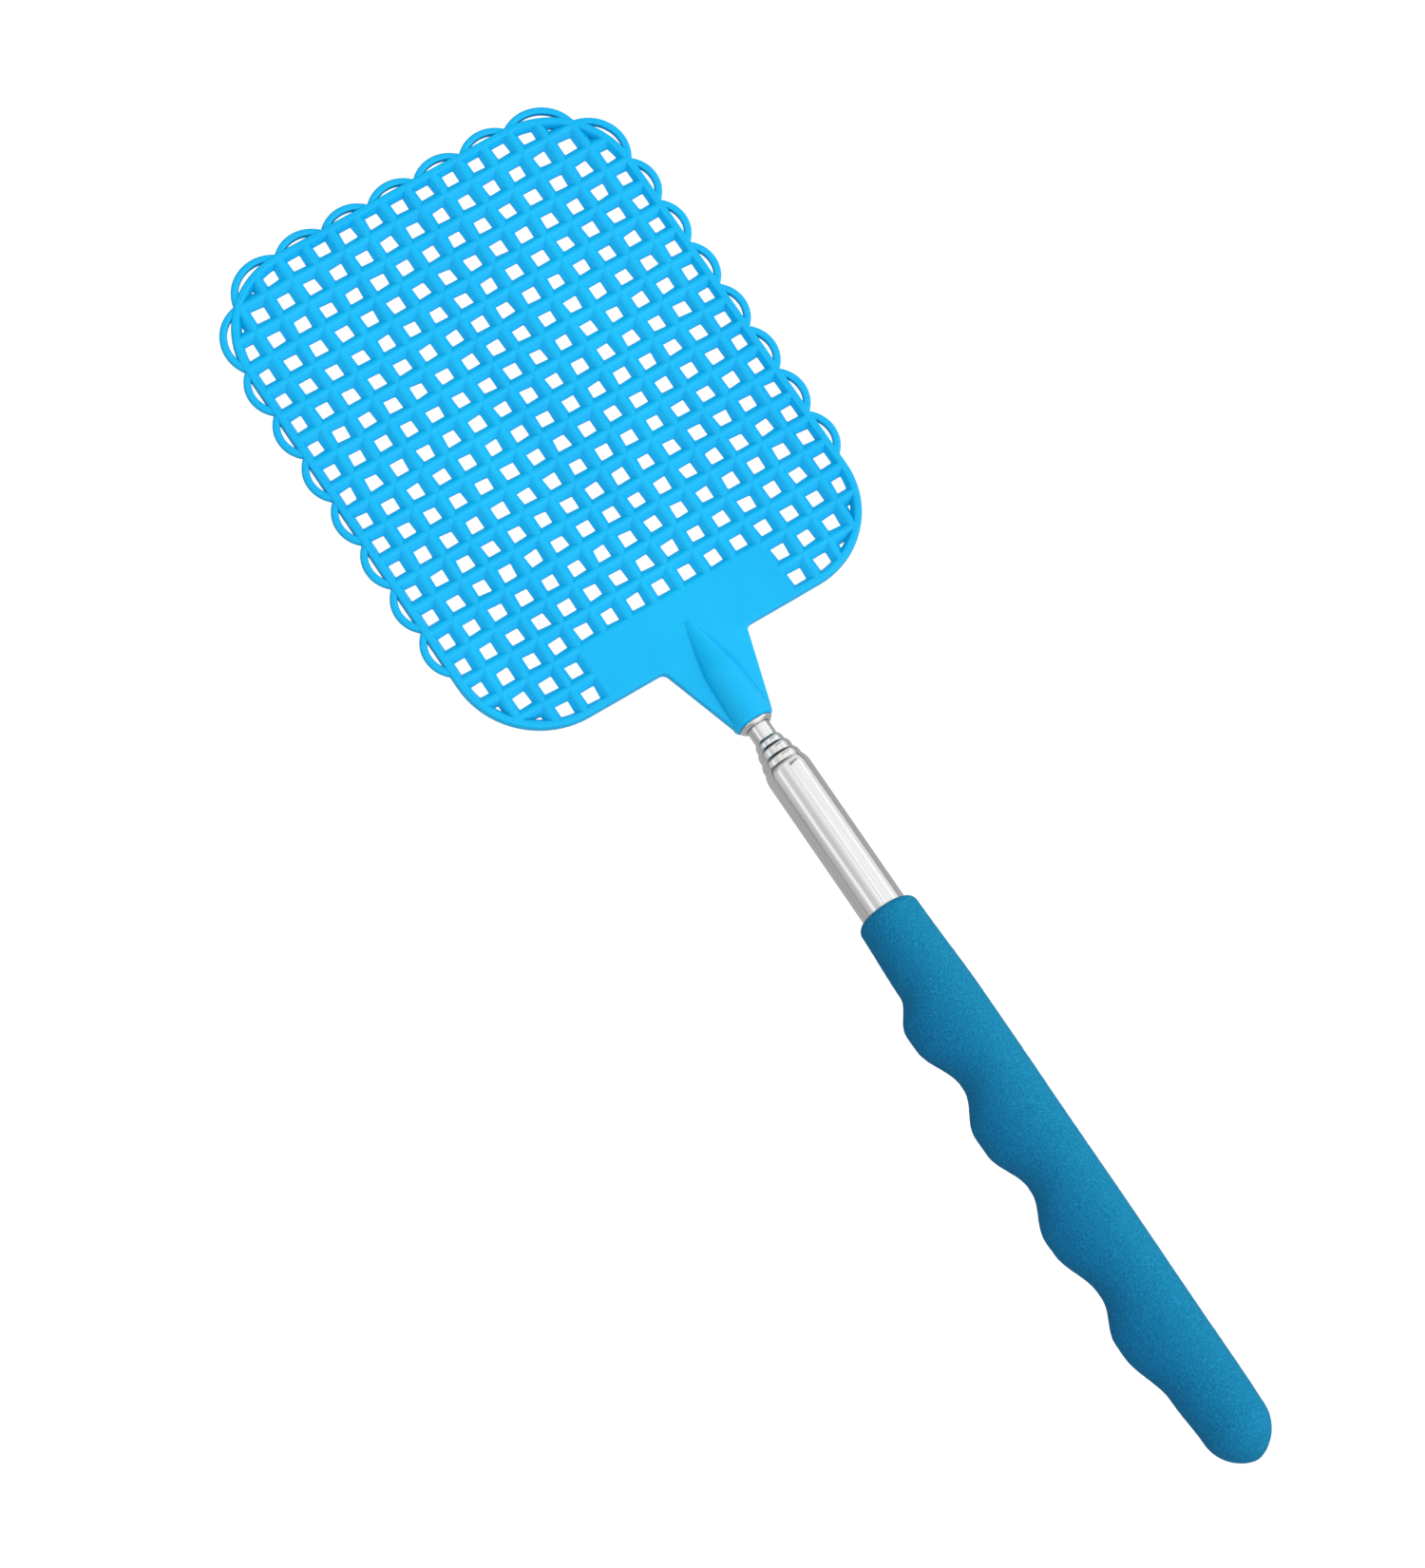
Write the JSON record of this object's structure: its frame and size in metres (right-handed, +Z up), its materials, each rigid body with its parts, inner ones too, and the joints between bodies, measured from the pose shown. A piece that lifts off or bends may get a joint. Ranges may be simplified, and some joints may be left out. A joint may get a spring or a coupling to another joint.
{
  "type": "fly swatter",
  "caption": "Telescopic fly swatter: square-lattice plastic head with scalloped rim, nested steel tubes and a foam grip with finger swells.",
  "frame": {"origin": "middle of the footprint, on the surface the swatter lies on, with the rod closed", "axes": "+X to the right, away from the finger swells; +Y along the rod towards the head; +Z up, out of the ribbed face of the head"},
  "size_m": [0.0954, 0.3082, 0.0136],
  "materials": {
    "paddle_plastic": "bright sky-blue moulded plastic, semi-gloss, slightly uneven",
    "bright_steel": "drawn and polished steel tube with fine lengthwise streaks",
    "collar_brass": "plain turned brass",
    "leaf_bronze": "thin rolled spring bronze",
    "plug_plastic": "plain black moulded plastic",
    "grip_foam": "matte closed-cell foam with a fine speckled grain"
  },
  "bodies": {
    "handle": {"tube_5": "bright_steel", "tube_plug": "plug_plastic", "foam_grip": "grip_foam"},
    "stage_4": {"tube_4": "bright_steel", "stop_collar_4": "collar_brass", "spring_leaf_4a": "leaf_bronze", "spring_leaf_4b": "leaf_bronze"},
    "stage_3": {"tube_3": "bright_steel", "stop_collar_3": "collar_brass", "spring_leaf_3a": "leaf_bronze", "spring_leaf_3b": "leaf_bronze"},
    "stage_2": {"tube_2": "bright_steel", "stop_collar_2": "collar_brass", "spring_leaf_2a": "leaf_bronze", "spring_leaf_2b": "leaf_bronze"},
    "leaf_pair_1": {"spring_leaf_1a": "leaf_bronze", "spring_leaf_1b": "leaf_bronze"},
    "head": {"tube_1": "bright_steel", "stop_collar_1": "collar_brass", "socket_ferrule": "bright_steel", "swatter_head": "paddle_plastic"}
  },
  "joints": [
    {"name": "slide_4", "type": "slide", "parent": "handle", "child": "stage_4", "axis": [0, 1, 0], "range_m": [0, 0.1035]},
    {"name": "slide_3", "type": "slide", "parent": "stage_4", "child": "stage_3", "axis": [0, 1, 0], "range_m": [0, 0.1065]},
    {"name": "slide_2", "type": "slide", "parent": "stage_3", "child": "stage_2", "axis": [0, 1, 0], "range_m": [0, 0.1088]},
    {"name": "slide_1", "type": "slide", "parent": "stage_2", "child": "leaf_pair_1", "axis": [0, 1, 0], "range_m": [0, 0.1106]},
    {"name": "swivel", "type": "hinge", "parent": "leaf_pair_1", "child": "head", "pos_m": [0, -0.10675, 0.0068], "axis": [0, 1, 0], "continuous": true}
  ]
}
